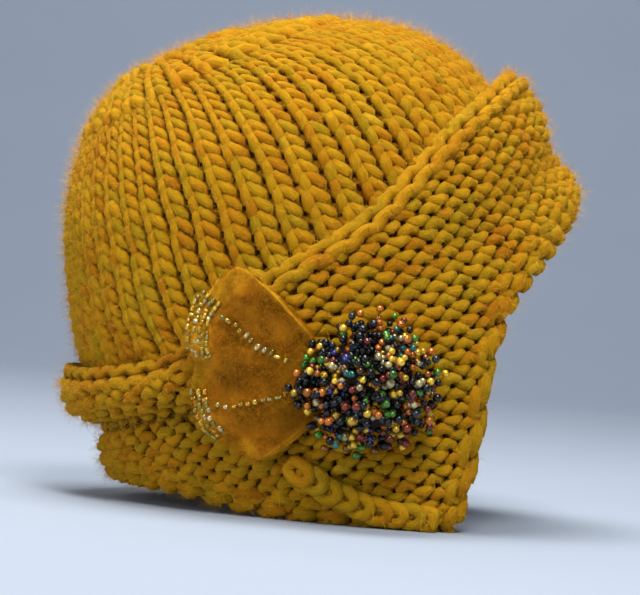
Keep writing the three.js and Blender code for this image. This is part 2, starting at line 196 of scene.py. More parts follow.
def crease_level(fold):
    return brim_share("crease_up", fold) * BRIM_RISE


def swelling(h, level, span):
    return np.exp(-(((h - level) / span) ** 2))


def nape_share(fold):
    """How far an angle belongs to the nape, where the brim turns up in a full roll over a sharp crease."""
    return smoothstep(fold, *NAPE_TURNS)


def nape_crease(turn, h):
    """Extra depth of the crease under the nape's roll."""
    fold = fold_turn(turn)
    return nape_share(fold) * NAPE_CREASE * swelling(h, crease_level(fold), NAPE_CREASE_SPAN)


def brim_out(turn, h):
    """How far the brim stands out of the crown at an angle and level."""
    fold = fold_turn(turn)
    lower, upper = brim_levels(turn)
    up = (h - lower) / (upper - lower)
    stand, stand_low = brim_share("stand", fold), brim_share("stand_low", fold)
    full = (stand_low + (stand - stand_low) * up) * BRIM_STAND
    rounding = read_table(BRIM_ROUNDING, "up", "out", up)
    level = crease_level(fold)
    crease = brim_share("crease", fold) * CREASE_DEPTH * swelling(h, level, CREASE_SPAN)
    roll = nape_share(fold) * NAPE_ROLL * swelling(h, level + NAPE_ROLL_RISE, NAPE_ROLL_SPAN)
    return full * rounding - crease + roll - nape_crease(turn, h)


def to_part(points):
    """From the crown's frame in millimetres to the part's frame in metres."""
    points = np.asarray(points, float)
    p, w, h = points[..., 0], points[..., 1], points[..., 2]
    x = p * math.cos(CROWN_LEAN) - h * math.sin(CROWN_LEAN) + HAT_MIDDLE[0]
    z = p * math.sin(CROWN_LEAN) + h * math.cos(CROWN_LEAN) + HAT_MIDDLE[2]
    return np.stack([x, w + HAT_MIDDLE[1], np.maximum(z, 0)], -1) * MM


def unit(vectors):
    return vectors / np.maximum(np.linalg.norm(vectors, axis=-1, keepdims=True), 1e-9)


def linked(name, mesh, material):
    """An object of a mesh, with its material, in the scene."""
    mesh.materials.append(bpy.data.materials[material])
    piece = bpy.data.objects.new(name, mesh)
    bpy.context.scene.collection.objects.link(piece)
    return piece


def mesh_object(name, material, points, faces, uv, colour):
    """A smooth mesh object from arrays of points, faces of one size, UVs and colours per corner, which on
    yarn carry painted shade.
    """
    size = faces.shape[1]
    mesh = bpy.data.meshes.new(name)
    mesh.vertices.add(len(points))
    mesh.vertices.foreach_set("co", np.ascontiguousarray(points, np.float32).ravel())
    mesh.loops.add(faces.size)
    mesh.loops.foreach_set("vertex_index", faces.astype(np.int32).ravel())
    mesh.polygons.add(len(faces))
    mesh.polygons.foreach_set("loop_start", np.arange(0, faces.size, size, dtype=np.int32))
    mesh.polygons.foreach_set("use_smooth", np.ones(len(faces), bool))
    if uv is not None:
        layer = mesh.uv_layers.new(name="strand")
        layer.data.foreach_set("uv", np.ascontiguousarray(uv, np.float32).ravel())
    layer = mesh.color_attributes.new("colour_and_shade", "FLOAT_COLOR", "CORNER")
    layer.data.foreach_set("color", np.ascontiguousarray(colour, np.float32).ravel())
    mesh.update(calc_edges=True)
    mesh.validate()
    return linked(name, mesh, material)


# Strand UV: u runs along the strand, one unit to 100 mm, and starts a little later on each strand
STRAND_SCALE = 10 * MM
STRAND_SHIFT = 0.37


def sweep(paths, normals, radius, sides, keep, lift):
    """Round closed strands along paths of points; keep says which are drawn, lift how far out each lies,
    which sets the painted shade of deep yarn.
    """
    rows, count = paths.shape[:2]
    along = unit(np.roll(paths, -1, 1) - np.roll(paths, 1, 1))
    across = unit(np.cross(normals, along))
    out = np.cross(along, across)
    angle = np.arange(sides) / sides * FULL_TURN
    ring = radius[..., None, None] * (
        np.cos(angle)[:, None] * across[:, :, None] + np.sin(angle)[:, None] * out[:, :, None]
    )
    points = (paths[:, :, None] + ring).reshape(-1, 3)
    height = (lift[..., None] + (ring * normals[:, :, None]).sum(-1)).ravel()
    step = np.linalg.norm(np.roll(paths, -1, 1) - paths, axis=-1)
    length = np.cumsum(step, 1) - step
    row, span, side = np.meshgrid(np.arange(rows), np.arange(count), np.arange(sides), indexing="ij")
    nxt = (span + 1) % count
    turned = (side + 1) % sides

    def corner(at, k):
        return (row * count + at) * sides + k

    drawn = (keep[row, span] & keep[row, nxt]).ravel()
    faces = np.stack([corner(span, side), corner(nxt, side), corner(nxt, turned), corner(span, turned)], -1)
    faces = faces.reshape(-1, 4)[drawn]
    u0 = length[row, span] * STRAND_SCALE + row * STRAND_SHIFT
    u1 = u0 + step[row, span] * STRAND_SCALE
    v0, v1 = side / sides, (side + 1) / sides
    corners = [np.stack(pair, -1) for pair in ((u0, v0), (u1, v0), (u1, v1), (u0, v1))]
    uv = np.stack(corners, -2).reshape(-1, 4, 2)[drawn]
    return points, faces, uv, height[faces]


def shape_object(name, material, shape):
    """A mesh object from a finished bmesh."""
    mesh = bpy.data.meshes.new(name)
    shape.to_mesh(mesh)
    shape.free()
    return linked(name, mesh, material)


def tie(pieces):
    """Ties pieces to the part's body."""
    for piece in pieces:
        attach(piece, "root")


def in_millimetres(group, *names):
    """Lengths of a property group, which keeps them in metres."""
    return [round(getattr(group, name) / MM, 4) for name in names]


def sweep_row(path, normal, radius, keep, lift, dye_shift):
    """One closed row of yarn, whose dye starts a shift along the strand."""
    group = sweep(path[None], normal[None], radius[None], YARN_SIDES, keep[None], lift[None])
    group[2][..., 0] += dye_shift
    return group


def joined(parts):
    """Joins (points, faces, uv, height) groups into one, with unused points dropped, and colours deep yarn
    darker as painted shade.
    """
    starts = np.cumsum([0] + [len(group[0]) for group in parts])
    faces = np.concatenate([group[1] + start for group, start in zip(parts, starts)])
    points, uvs, heights = (np.concatenate([group[k] for group in parts]) for k in (0, 2, 3))
    used, remade = np.unique(faces, return_inverse=True)
    # Painted shade: the deeper a corner lies below the yarn's outside, the darker its colour
    painted_lightness = smoothstep(heights, DEEP, 0)
    colour_and_shade = np.stack([painted_lightness, painted_lightness, painted_lightness, np.ones_like(painted_lightness)], -1)
    return points[used], remade.reshape(faces.shape), uvs, colour_and_shade


def close_ends(piece):
    """Closes the open ends of swept strands."""
    shape = bmesh.new()
    shape.from_mesh(piece.data)
    bmesh.ops.holes_fill(shape, edges=[e for e in shape.edges if e.is_boundary], sides=12)
    bmesh.ops.recalc_face_normals(shape, faces=shape.faces[:])
    shape.to_mesh(piece.data)
    shape.free()


def yarn_object(name, material, parts):
    points, faces, uvs, colour_and_shade = joined(parts)
    piece = mesh_object(name, material, to_part(points), faces, uvs, colour_and_shade)
    close_ends(piece)
    return piece


def loop_shape(points_per_stitch, width, height, depth, bulge, shear, gather=0.0):
    """One stitch of a row as offsets: along the row in stitches, up and out in millimetres."""
    t = np.arange(points_per_stitch) / points_per_stitch * FULL_TURN
    up = -height / 2 * np.cos(t)
    along = t / FULL_TURN + bulge * np.sin(2 * t) + gather * np.sin(t) + shear * up / width
    return along, up, -depth * np.cos(2 * t)


# Loose fibres: how straight they stand off, how their length varies, how far they wander and curl
FIBRE_RISE = (0.1, 0.9)
FIBRE_REACH = (0.45, 1.25)
FIBRE_WANDER = 0.85
FIBRE_CURL = {"middle": 0.12, "tip": 0.38}
FIBRE_TAPER = {"middle": 0.8, "tip": 0.3}


def fuzz(name, material, count, points, outs, length, width, spread=0.0):
    """Loose fibres as thin bent ribbons that stand off the yarn at chosen points."""
    rng = np.random.default_rng(SEEDS[name])
    pick = rng.integers(0, len(points), count)
    foot, out = points[pick] + rng.normal(0, 1, (count, 3)) * spread, outs[pick]
    wander = unit(rng.normal(size=(count, 3)))
    lay = unit(out * rng.uniform(*FIBRE_RISE, (count, 1)) + wander * FIBRE_WANDER)
    curl = unit(rng.normal(size=(count, 3)))
    reach = length * rng.uniform(*FIBRE_REACH, (count, 1))
    middle = foot + lay * reach * 0.5 + curl * reach * FIBRE_CURL["middle"]
    tip = foot + lay * reach + curl * reach * FIBRE_CURL["tip"]
    side = unit(np.cross(lay, curl)) * width
    waist, end = side * FIBRE_TAPER["middle"], side * FIBRE_TAPER["tip"]
    ring = np.stack([foot - side, foot + side, middle + waist, middle - waist, tip + end, tip - end], 1)
    start = np.arange(count)[:, None] * 6
    faces = np.concatenate([start + [0, 1, 2, 3], start + [3, 2, 4, 5]])
    uv = np.zeros((len(faces), 4, 2))
    uv[..., 0] = np.tile(rng.uniform(0, 50, count), 2)[:, None]
    colour_and_shade = np.ones((len(faces), 4, 4))
    return mesh_object(name, material, to_part(ring.reshape(-1, 3)), faces, uv, colour_and_shade)


class Finish:
    """A material in the making, with short ways to add nodes and feed their sockets."""

    def __init__(self, name):
        self.material = bpy.data.materials.new(name)
        self.material.use_nodes = True
        self.tree = self.material.node_tree
        self.shader = self.tree.nodes["Principled BSDF"]

    def feed(self, node, values):
        """Links each named socket to another node's output, or sets it to a value."""
        for socket, value in values.items():
            if isinstance(value, bpy.types.NodeSocket):
                self.tree.links.new(value, node.inputs[socket])
            else:
                node.inputs[socket].default_value = value

    def add(self, kind, output, values=None, **settings):
        """Adds a node with its settings and sockets, and returns one of its outputs."""
        node = self.tree.nodes.new("ShaderNode" + kind)
        for name, value in settings.items():
            setattr(node, name, value)
        self.feed(node, values or {})
        return node.outputs[output]

    def place(self):
        return self.add("TexCoord", "Object")

    def strand(self):
        return self.add("UVMap", "UV", uv_map="strand")

    def mapped(self, vector, scale, turn=0.0):
        return self.add("Mapping", "Vector", {"Vector": vector, "Scale": scale, "Rotation": (0, 0, turn)})

    def noise(self, vector, scale, detail, roughness=0.5):
        values = {"Vector": vector, "Scale": scale, "Detail": detail, "Roughness": roughness}
        return self.add("TexNoise", "Fac", values)

    def ramp(self, level, stops):
        node = self.add("ValToRGB", "Color", {"Fac": level}).node
        points = node.color_ramp.elements
        while len(points) < len(stops):
            points.new(0.5)
        for point, (at, colour) in zip(points, stops):
            point.position = at
            point.color = (*colour, 1)
        return node.outputs["Color"]

    def shaded(self, colour, shade, share):
        """Multiplies a colour by a shade."""
        values = {"Factor": share, "A": colour, "B": shade}
        return self.add("Mix", "Result", values, data_type="RGBA", blend_type="MULTIPLY")

    def bump(self, height, strength, distance):
        values = {"Height": height, "Strength": strength, "Distance": distance}
        self.feed(self.shader, {"Normal": self.add("Bump", "Normal", values)})


def wool_material(name, bright, lift, bump_strength=0.7, even=0.0):
    """Kettle-dyed single-ply wool: colour drifts along each strand, fibres run round it in a twist. Deep yarn
    gets painted shade, and lift lightens or darkens the whole dye, as painted light or shade on copies of one
    wool.
    """
    finish = Finish(name)
    strand, place = finish.strand(), finish.place()
    drift = finish.noise(finish.mapped(strand, (1, 0.15, 1)), 3.2, 2)
    cloud = finish.noise(place, 38, 2)
    mood = finish.add("Mix", "Result", {"Factor": 0.3, "A": drift, "B": cloud})
    shades = ((0.3, (0.34, 0.11, 0.004)), (0.4, (0.50, 0.20, 0.005)), (0.5, bright),
              (0.59, (0.40, 0.24, 0.006)), (0.7, (0.72, 0.42, 0.02)))
    dye = finish.ramp(mood, [
        (at, tuple(lift * (c * (1 - even) + b * even) for c, b in zip(colour, bright)))
        for at, colour in shades
    ])
    fibres = finish.noise(finish.mapped(strand, (6, 9, 1), math.radians(24)), 5, 4, 0.65)
    fine = finish.noise(place, 900, 3, 0.7)
    finish.bump(finish.add("Math", "Value", {0: fibres, 1: fine}, operation="ADD"), bump_strength, 0.0009)
    shade = finish.ramp(fibres, [(0.32, (0.5, 0.42, 0.34)), (0.6, (1.12, 1.12, 1.12))])
    # Painted shade: yarn deep among the stitches, and the wall behind them, is coloured darker
    depth = finish.add("Attribute", "Fac", attribute_name="colour_and_shade")
    hollow_shade = finish.ramp(depth, [(0.1, (0.16, 0.09, 0.04)), (0.5, (0.52, 0.44, 0.34)), (0.85, (1, 1, 1))])
    finish.feed(finish.shader, {
        "Base Color": finish.shaded(finish.shaded(dye, shade, 0.6), hollow_shade, 1),
        "Roughness": 0.92,
        "Specular IOR Level": 0.06,
        "Sheen Weight": 0.22,
        "Sheen Roughness": 0.4,
        "Sheen Tint": (1.0, 0.62, 0.1, 1),
    })


def felt_material(name, rim, heart):
    """Felted wool: burnt orange in the middle, golden and hairy towards the edge."""
    finish = Finish(name)
    place = finish.place()
    edge = finish.add("SeparateXYZ", "Y", {"Vector": finish.strand()})
    mottle = finish.noise(place, 130, 5, 0.7)
    zone = finish.add("Math", "Value", {0: mottle, 1: 0.35, 2: edge}, operation="MULTIPLY_ADD")
    colour = finish.ramp(zone, [
        (0.15, tuple(c * 0.7 for c in heart)),
        (0.5, heart),
        (0.72, tuple(0.5 * (a + b) for a, b in zip(heart, rim))),
        (0.95, rim),
    ])
    patch = finish.noise(place, 95, 4, 0.65)
    shade = finish.ramp(patch, [(0.34, (0.42, 0.32, 0.26)), (0.6, (1.15, 1.15, 1.1))])
    finish.bump(finish.noise(place, 420, 6, 0.8), 1.0, 0.0014)
    finish.feed(finish.shader, {
        "Base Color": finish.shaded(colour, shade, 1.0),
        "Roughness": 0.95,
        "Specular IOR Level": 0.05,
        "Sheen Weight": 0.15,
        "Sheen Tint": (1.0, 0.5, 0.1, 1),
    })


def bead_material(name, metal):
    """Glass beads coloured one by one, with tiny flaws in their gloss."""
    finish = Finish(name)
    flaw = finish.noise(finish.place(), 1500, 2)
    finish.feed(finish.shader, {
        "Base Color": finish.add("Attribute", "Color", attribute_name="colour_and_shade"),
        "Roughness": finish.ramp(flaw, [(0.35, (0.05,) * 3), (0.75, (0.22,) * 3)]),
        "Metallic": metal,
        "Coat Weight": 0.35,
        "Coat Roughness": 0.03,
        "Specular IOR Level": 0.5,
    })


def plain_material(name, colour):
    finish = Finish(name)
    grain = finish.noise(finish.place(), 6, 2)
    tone = finish.ramp(grain, [(0.2, tuple(c * 0.97 for c in colour)), (0.8, colour)])
    finish.feed(finish.shader, {"Base Color": tone, "Roughness": 0.9})


class ClocheYarn(bpy.types.PropertyGroup):
    """Sizes of the yarn and its stitches."""
    columns: bpy.props.IntProperty(
        name="Crown columns", description="Stitches round the crown", default=54, min=24)
    brim_columns: bpy.props.IntProperty(
        name="Brim stitches", description="Stitches round the brim", default=60, min=24)
    row_pitch: bpy.props.FloatProperty(
        name="Row pitch", description="Height of a row", default=6.5 * MM, precision=4, unit="LENGTH")
    thickness: bpy.props.FloatProperty(
        name="Yarn", description="Thickness of the yarn", default=5.2 * MM, precision=4, unit="LENGTH")
    wave: bpy.props.FloatProperty(
        name="Wave", description="Swing of a loop in and out", default=1.9 * MM, precision=4, unit="LENGTH")
    sink: bpy.props.FloatProperty(
        name="Sink", description="Depth of the strands' middle", default=3.6 * MM, precision=4, unit="LENGTH")
    fibres: bpy.props.IntProperty(
        name="Fibres", description="Loose fibres on each knitted piece", default=42000, min=1)
    fibre_length: bpy.props.FloatProperty(
        name="Fibre length", description="Length of a fibre", default=4.7 * MM, precision=4, unit="LENGTH")


class ClocheTrim(bpy.types.PropertyGroup):
    """Numbers and sizes of the trim's small parts."""
    strands: bpy.props.IntProperty(
        name="Strands", description="Strands of beads in the cluster", default=230, min=1)
    hairs: bpy.props.IntProperty(
        name="Hairs", description="Loose hairs on the felt leaf", default=26000, min=1)
    hair_length: bpy.props.FloatProperty(
        name="Hair length", description="Length of a hair", default=2.8 * MM, precision=4, unit="LENGTH")


class ClocheColours(bpy.types.PropertyGroup):
    """Colours of the wool and the felt."""
    wool: bpy.props.FloatVectorProperty(
        name="Wool", description="Golden middle of the dye", subtype="COLOR", default=(0.56, 0.29, 0.007))
    felt_rim: bpy.props.FloatVectorProperty(
        name="Felt edge", description="Edge of the leaf", subtype="COLOR", default=(0.78, 0.40, 0.016))
    felt_heart: bpy.props.FloatVectorProperty(
        name="Felt middle", description="Middle of the leaf", subtype="COLOR", default=(0.60, 0.22, 0.010))


# Points round one stitch of yarn, sides of a strand, and the depth in millimetres where the painted shade on
# deep yarn is darkest
POINTS_PER_STITCH = 12
YARN_SIDES = 6
DEEP = -5.2

# Unevenness of hand knitting, as shares of the yarn's thickness and of a stitch, and in millimetres
UNEVEN_YARN = 0.06
UNEVEN_CROWN = {"along": 0.03, "lift": 0.22}
UNEVEN_BRIM = {"along": 0.04, "lift": 0.25}

# Shift of the dye from row to row along the strand
CROWN_ROW_SHIFT = 5.3
BRIM_ROW_SHIFT = 7.1

FIBRE_WIDTH = 0.042
FIBRE_FOOT = 0.45

SEEDS = {
    "crown": 11, "crown_fuzz": 5, "brim": 23, "brim_fuzz": 6, "chain": 41, "chain_fuzz": 7,
    "leaf": 3, "leaf_fuzz": 9, "leaf_beads": 17, "cluster": 29,
}

MERIDIAN_POINTS = 600
MERIDIAN_START = -20


def crown_meridian():
    """Arc length up the crown against its level, from below the widest level to the top."""
    share = 1 - (1 - np.linspace(0, 1, MERIDIAN_POINTS)) ** 2
    h = MERIDIAN_START + (CROWN_HEIGHT - MERIDIAN_START) * share
    long, _, wide = crown_outline(h)
    radius = (long + wide) / 2
    s = np.concatenate([[0], np.cumsum(np.hypot(np.diff(h), np.diff(radius)))])
    return s, h, radius


MERIDIAN = crown_meridian()


def meridian_level(s):
    return np.interp(s, MERIDIAN[0], MERIDIAN[1])


def meridian_radius(s):
    return np.interp(s, MERIDIAN[0], MERIDIAN[2])


def crown_surface(turn, s, out):
    """A point of the crown by angle and arc length, out along the surface's slope."""
    base = hat_point(turn, meridian_level(s), 0)
    slope_h = meridian_level(s + 1) - meridian_level(s - 1)
    slope_r = meridian_radius(s + 1) - meridian_radius(s - 1)
    norm = np.hypot(slope_h, slope_r)
    flat, rise = slope_h / norm, -slope_r / norm
    facing = np.stack(np.broadcast_arrays(np.cos(turn), -np.sin(turn), 0), -1)
    up = np.array([0, 0, 1.0])
    return base + np.asarray(out)[..., None] * (facing * flat[..., None] + up * rise[..., None])


# The closed wall behind the stitches: points round it, how far out of the crown its faces stand, and the
# shares of the brim's height where its face and back start and end, with their number of loops
WALL_TURNS = 108
WALL_OUTER = -4.6
WALL_SKIRT = -2.0
WALL_INNER = -7.2
WALL_TURN_LEVEL = -12.0
WALL_TOP = {"outer": 1.5, "inner": 3}
WALL_LOOPS = {"outer": 30, "inner": 24, "skirt": 6}
# The wall's colour: painted shade, as of deep yarn in the gaps between the stitches
WALL_PAINTED_SHADE = (0.3, 0.3, 0.3, 1)
WALL_WELD = 0.01 * MM
BRIM_WALL_GAP = 0.9
BRIM_WALL_INNER = 0.3
BRIM_WALL_FACE = (0.03, 0.97, 22)
BRIM_WALL_BACK = (0.965, 0.035, 8)


def add_grid(shape, across, along):
    """Adds a grid of faces, and tells each of its corners' two places in the grid."""
    made = bmesh.ops.create_grid(shape, x_segments=across, y_segments=along, size=1)["verts"]
    return {vert: (round((vert.co.x + 1) / 2 * across), round((vert.co.y + 1) / 2 * along)) for vert in made}


def add_wall(piece, loops):
    """Adds a closed wall that runs from loop to loop of points and back to the first loop, coloured dark as
    painted shade.
    """
    rings = to_part(np.stack(loops))
    height, count = rings.shape[:2]
    shape = bmesh.new()
    shape.from_mesh(piece.data)
    places = add_grid(shape, count, height)
    for vert, (i, k) in places.items():
        vert.co = rings[k % height, i % count]
    faces = list({face for vert in places for face in vert.link_faces})
    bmesh.ops.remove_doubles(shape, verts=list(places), dist=WALL_WELD)
    faces = [face for face in faces if face.is_valid]
    bmesh.ops.recalc_face_normals(shape, faces=faces)
    # Painted shade: the whole wall is coloured as the shaded depth behind the stitches
    colour_and_shade = shape.loops.layers.float_color["colour_and_shade"]
    for face in faces:
        face.smooth = True
        for corner in face.loops:
            corner[colour_and_shade] = WALL_PAINTED_SHADE
    shape.to_mesh(piece.data)
    shape.free()


def finish_knit(name, parts, loops, feet, outs, yarn):
    """Joins the rows of a knitted piece, adds its wall and its loose fibres, and ties them to the part."""
    piece = yarn_object(name + "_knit", name + "_wool", parts)
    add_wall(piece, loops)
    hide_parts(name)
    fibre_length, = in_millimetres(yarn, "fibre_length")
    feet, outs = np.concatenate(feet), np.concatenate(outs)
    hairs = fuzz(name + "_fuzz", "fibre_wool", yarn.fibres, feet, outs, fibre_length, FIBRE_WIDTH)
    tie((piece, hairs))


# The crown's rows: where they start and stop on the arc, and the radii below which columns merge
CROWN_LOOP_ROWS = 1.8
CROWN_LOOP = {"bulge": 0.215, "shear": 0.25, "gather": 0.07}
FIRST_ROW = 7
LAST_ROW_GAP = 4
TOP_GAP = 0.5
CROWN_MERGES = ((56, 2), (26, 4), (12, 8))
FEWEST_COLUMNS = 5
FULL_STITCH = 10.9
STITCH_SCALES = (0.66, 1.15)
CROWN_TUCK = 9
CROWN_FRONT = 0.4


class HAT_OT_crown(bpy.types.Operator):
    """Knit the crown in rows of loops, knit side out, over a closed inner wall"""
    bl_idname = "cloche.crown"
    bl_label = "Knit the crown"

    def execute(self, context):
        yarn = context.scene.cloche_yarn
        row_pitch, thickness, wave, sink = in_millimetres(yarn, "row_pitch", "thickness", "wave", "sink")
        top = MERIDIAN[0][-1]
        parts, feet, outs = [], [], []
        rng = np.random.default_rng(SEEDS["crown"])
        for row, s_row in enumerate(np.arange(FIRST_ROW, top - LAST_ROW_GAP, row_pitch)):
            radius = float(meridian_radius(s_row))
            columns = yarn.columns
            for narrow, share in CROWN_MERGES:
                if radius < narrow:
                    columns = max(FEWEST_COLUMNS, yarn.columns // share)
            pitch = FULL_TURN * radius / columns
            scale = float(np.clip(pitch / FULL_STITCH, *STITCH_SCALES))
            height = -row_pitch * CROWN_LOOP_ROWS
            along, up, out = loop_shape(POINTS_PER_STITCH, pitch, height, wave, **CROWN_LOOP)
            stitch = np.arange(columns)[:, None]
            uneven = rng.normal(0, UNEVEN_CROWN["along"], (columns, 1))
            turn = ((stitch + along + uneven) / columns * FULL_TURN).ravel()
            s = np.minimum((s_row + up + 0 * stitch).ravel(), top - TOP_GAP)
            lift = (out * scale + rng.normal(0, UNEVEN_CROWN["lift"], (columns, 1))).ravel() - sink
            path = crown_surface(turn, s, lift)
            normal = unit(crown_surface(turn, s, lift + 1) - path)
            _, upper = brim_levels(turn)
            keep = path[:, 2] > upper - CROWN_TUCK
            if not keep.any():
                continue
            thick = thickness / 2 * scale * (1 + rng.normal(0, UNEVEN_YARN, (columns, 1)) + 0 * along)
            parts.append(sweep_row(path, normal, thick.ravel(), keep, lift, row * CROWN_ROW_SHIFT))
            front = keep & (lift > -sink + CROWN_FRONT)
            feet.append((path + normal * thickness * FIBRE_FOOT)[front])
            outs.append(normal[front])
        turns = np.arange(WALL_TURNS) / WALL_TURNS * FULL_TURN
        lower, _ = brim_levels(turns)

        def arc(start, end, count, out):
            ones = np.ones(WALL_TURNS)
            return [crown_surface(turns, ones * s, ones * out) for s in np.linspace(start, end, count)]

        outer = arc(top - WALL_TOP["outer"], FIRST_ROW + 1, WALL_LOOPS["outer"], WALL_OUTER)
        inner = arc(FIRST_ROW + 1, top - WALL_TOP["inner"], WALL_LOOPS["inner"], WALL_INNER)
        shares = np.linspace(0, 1, WALL_LOOPS["skirt"] + 1)[1:, None]
        drop = shares * (lower + RIM_SETBACK - WALL_TURN_LEVEL) + WALL_TURN_LEVEL
        skirt = [hat_point(turns, h, WALL_SKIRT) for h in drop]
        inside = [hat_point(turns, h, WALL_INNER) for h in drop[::-1]]
        finish_knit("crown", parts, outer + skirt + inside + inner, feet, outs, yarn)
        return {"FINISHED"}


# The brim's rows: their levels in millimetres, how they fall towards the front, and their loops
BRIM_ROUND = 107
BRIM_LOOP_ROWS = 1.72
BRIM_LOOP = {"bulge": 0.15, "shear": 0}
BRIM_WAVE = 1.35
BRIM_YARN = 0.93
BRIM_ROW_LEVELS = (-150, 110)
ROW_SLANT = 0.2
BRIM_MARGIN = {"lower": 3, "upper": 6}
BRIM_TUCK = 2.6
TUCK_UPPER = (-13, -8)
TUCK_LOWER = (-8, -2)
BRIM_FRONT = -0.2
# How much darker, as painted shade, yarn in the nape's crease is coloured
CREASE_PAINTED_SHADE = 0.8
NAPE_UNTUCK = 0.6
NAPE_SETTLE = 1.7

# Rows that follow the brim's edges: distance in from the edge, swing, bump and how proud they stand
BRIM_EDGE_ROWS = ((-2.4, 1.2, 0.3, 1.1), (-6.8, 1.8, 0.5, 1.9), (2.6, 5.5, 1.3, 1.0), (7, 7, 1.6, 0.8))
EDGE_ROW_START = 50
ROLL_SWELL = {"mean": 1.12, "pulse": 0.16}
EDGE_SWELL = 1.05
UNEVEN_EDGE = 0.05


def brim_surface(turn, h, lift):
    return hat_point(turn, h, brim_out(turn, h) + lift)


def brim_normal(turn, h, lift):
    """Direction out of the brim's face."""
    ahead = brim_surface(turn + 0.004, h, lift) - brim_surface(turn - 0.004, h, lift)
    rise = brim_surface(turn, h + 0.5, lift) - brim_surface(turn, h - 0.5, lift)
    normal = unit(np.cross(rise, ahead))
    facing = np.stack([np.cos(turn), -np.sin(turn), 0 * turn], -1)
    return np.where((normal * facing).sum(-1, keepdims=True) < 0, -normal, normal)


class HAT_OT_brim(bpy.types.Operator):
    """Knit the brim purl side out, with a smooth roll of strands along its upper edge"""
    bl_idname = "cloche.brim"
    bl_label = "Knit the brim"

    def execute(self, context):
        yarn = context.scene.cloche_yarn
        row_pitch, thickness, wave, sink = in_millimetres(yarn, "row_pitch", "thickness", "wave", "sink")
        rng = np.random.default_rng(SEEDS["brim"])
        columns = yarn.brim_columns
        pitch = FULL_TURN * BRIM_ROUND / columns
        height = row_pitch * BRIM_LOOP_ROWS
        along, up, out = loop_shape(POINTS_PER_STITCH, pitch, height, -wave * BRIM_WAVE, **BRIM_LOOP)
        even = np.arange(POINTS_PER_STITCH) / POINTS_PER_STITCH
        stitch = np.arange(columns)[:, None]
        parts, feet, outs = [], [], []

        def add(turn, h, lift, keep, thick, row):
            path, normal = brim_surface(turn, h, lift), brim_normal(turn, h, lift)
            # Painted shade: yarn in the nape's crease is coloured darker than its depth alone gives
            shade = lift - CREASE_PAINTED_SHADE * nape_crease(turn, h)
            parts.append(sweep_row(path, normal, thick, keep, shade, row * BRIM_ROW_SHIFT))
            front = keep & (lift > -sink + BRIM_FRONT)
            feet.append((path + normal * thickness * FIBRE_FOOT)[front])
            outs.append(normal[front])

        for row, level in enumerate(np.arange(*BRIM_ROW_LEVELS, row_pitch)):
            uneven = rng.normal(0, UNEVEN_BRIM["along"], (columns, 1))
            turn = ((stitch + along + uneven) / columns * FULL_TURN).ravel()
            h = (level + up + 0 * stitch).ravel() - ROW_SLANT * CROWN_LENGTH / 2 * np.cos(turn)
            lift = (out + rng.normal(0, UNEVEN_BRIM["lift"], (columns, 1))).ravel() - sink
            lower, upper = brim_levels(turn)
            keep = (h > lower + BRIM_MARGIN["lower"]) & (h < upper - BRIM_MARGIN["upper"])
            if not keep.any():
                continue
            tucked = (1 - NAPE_UNTUCK * nape_share(fold_turn(turn))) * smoothstep(h - upper, *TUCK_UPPER)
            lift = lift - BRIM_TUCK * (smoothstep(lower - h, *TUCK_LOWER) + tucked)
            thick = thickness / 2 * (BRIM_YARN + rng.normal(0, UNEVEN_YARN, (columns, 1)) + 0 * along)
            add(turn, h, lift, keep, thick.ravel(), row)
        for edge, (from_edge, swing, bump, proud) in enumerate(BRIM_EDGE_ROWS):
            rolled = from_edge < 0
            course = even if rolled else along
            turn = ((stitch + course + 0.5 * (edge % 2)) / columns * FULL_TURN).ravel()
            lower, upper = brim_levels(turn)
            h = (upper if rolled else lower) + from_edge + np.tile(up / height * swing, columns)
            settled = NAPE_SETTLE * nape_share(fold_turn(turn)) if rolled else 0
            lift = np.tile(out / wave * bump, columns) - sink + proud - settled
            pulse = ROLL_SWELL["mean"] - ROLL_SWELL["pulse"] * np.cos(2 * even * FULL_TURN)
            swell = pulse if rolled else EDGE_SWELL + 0 * even
            thick = (thickness / 2 * (swell + rng.normal(0, UNEVEN_EDGE, (columns, 1)))).ravel()
            add(turn, h, lift, np.ones(len(turn), bool), thick, EDGE_ROW_START + edge)
        turns = np.arange(WALL_TURNS) / WALL_TURNS * FULL_TURN
        lower, upper = brim_levels(turns)
        loops = []
        for share in np.linspace(*BRIM_WALL_FACE):
            h = lower + (upper - lower) * share
            loops.append(hat_point(turns, h, np.maximum(brim_out(turns, h) + WALL_OUTER, BRIM_WALL_GAP)))
        for share in np.linspace(*BRIM_WALL_BACK):
            loops.append(hat_point(turns, lower + (upper - lower) * share, BRIM_WALL_INNER))
        finish_knit("brim", parts, loops, feet, outs, yarn)
        return {"FINISHED"}


def smooth_path(points, count):
    """Evenly spaced points on a smooth curve through a few points, and the curve's length."""
    points = np.asarray(points, float)
    padded = np.vstack([2 * points[0] - points[1], points, 2 * points[-1] - points[-2]])
    samples = []
    for i in range(1, len(padded) - 2):
        a, b, c, d = padded[i - 1 : i + 3]
        t = np.linspace(0, 1, 40, endpoint=False)[:, None]
        square = (2 * a - 5 * b + 4 * c - d) * t**2
        cube = (3 * b - a - 3 * c + d) * t**3
        samples.append(0.5 * (2 * b + (c - a) * t + square + cube))
    dense = np.vstack(samples + [points[-1:]])
    s = np.concatenate([[0], np.cumsum(np.linalg.norm(np.diff(dense, axis=0), axis=1))])
    even = np.linspace(0, s[-1], count)
    return np.stack([np.interp(even, s, dense[:, k]) for k in range(points.shape[1])], -1), s[-1]


